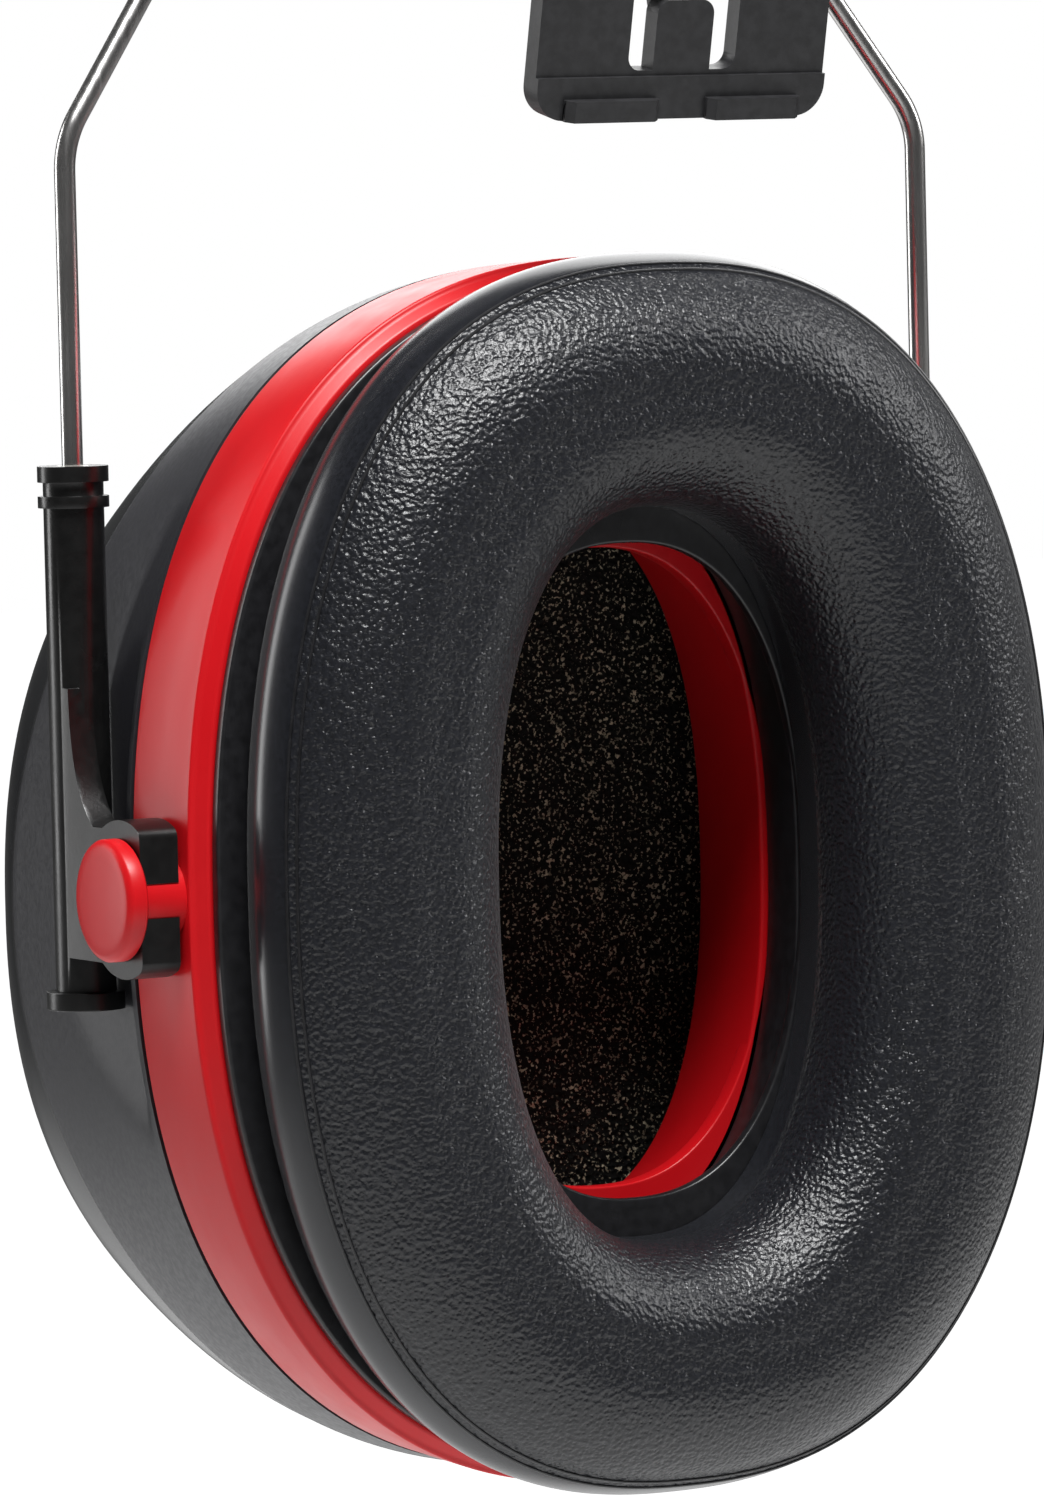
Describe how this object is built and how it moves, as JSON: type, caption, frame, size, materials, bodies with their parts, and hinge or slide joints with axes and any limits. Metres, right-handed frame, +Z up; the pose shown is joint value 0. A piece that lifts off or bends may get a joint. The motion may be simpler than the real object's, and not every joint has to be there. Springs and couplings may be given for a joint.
{
  "type": "helmet-mounted earmuff hearing protector",
  "caption": "Deep oval ear cup with a plush cushion, hung by pivot studs on a telescoping wire fork from a helmet-slot adapter.",
  "frame": {"origin": "middle of the adapter blade's flat face, on the side that faces the head", "axes": "+Z up along the fork legs, +Y away from the head, X from the front (-X) to the back (+X)"},
  "size_m": [0.1058, 0.0932, 0.1853],
  "materials": {
    "shell": "satin side wall, gloss dome",
    "ring": "satin red moulding",
    "black_plastic": "fine moulded grain",
    "inner_plastic": "matte",
    "leatherette": "grained, slight sheen",
    "cushion_core": "soft open-cell foam",
    "absorber": "speckled open-cell foam",
    "seal": "matte",
    "wire": "drawn stainless wire",
    "steel": "zinc plated",
    "acetal": "natural acetal"
  },
  "bodies": {
    "adapter": {"adapter_blade": "black_plastic", "swivel_pin": "steel", "retaining_ring": "steel", "spring_washer": "steel"},
    "bracket": {"bracket_body": "black_plastic", "bracket_cover": "black_plastic", "cover_screws": "steel", "detent_spring": "steel"},
    "fork": {"fork_wire": "wire", "cam_sleeve": "acetal", "front_end_stop": "steel", "rear_end_stop": "steel"},
    "front_guide_body": {"front_guide": "black_plastic", "front_guide_plug": "black_plastic", "front_guide_bush": "acetal"},
    "rear_guide_body": {"rear_guide": "black_plastic", "rear_guide_plug": "black_plastic", "rear_guide_bush": "acetal"},
    "cup": {"outer_shell": "shell", "shell_seal": "seal", "stud_ring": "ring", "inner_shell": "inner_plastic", "shell_screws": "steel", "inner_absorber": "absorber", "outer_absorber": "absorber", "cushion_base": "inner_plastic", "cushion_cover": "leatherette", "cushion_foam": "cushion_core"}
  },
  "joints": [
    {"name": "adapter_swivel", "type": "hinge", "parent": "adapter", "child": "bracket", "pos_m": [0, -0.00427, 0.01851], "axis": [0, 0.9744, 0.225], "range_deg": [-10, 160]},
    {"name": "fork_hinge", "type": "hinge", "parent": "bracket", "child": "fork", "pos_m": [0, 0.04201, 0.0292], "axis": [1, 0, 0], "range_deg": [0, 40]},
    {"name": "front_guide_slide", "type": "slide", "parent": "fork", "child": "front_guide_body", "axis": [0, 0, 1], "range_m": [-0.022, 0.006]},
    {"name": "rear_guide_slide", "type": "slide", "parent": "fork", "child": "rear_guide_body", "axis": [0, 0, 1], "range_m": [-0.022, 0.006]},
    {"name": "cup_tilt", "type": "hinge", "parent": "front_guide_body", "child": "cup", "pos_m": [0, 0.0224, -0.0886], "axis": [1, 0, 0], "range_deg": [-12, 12]}
  ],
  "couplings": [
    {"joint": "rear_guide_slide", "follows": "front_guide_slide", "ratio": 1}
  ]
}
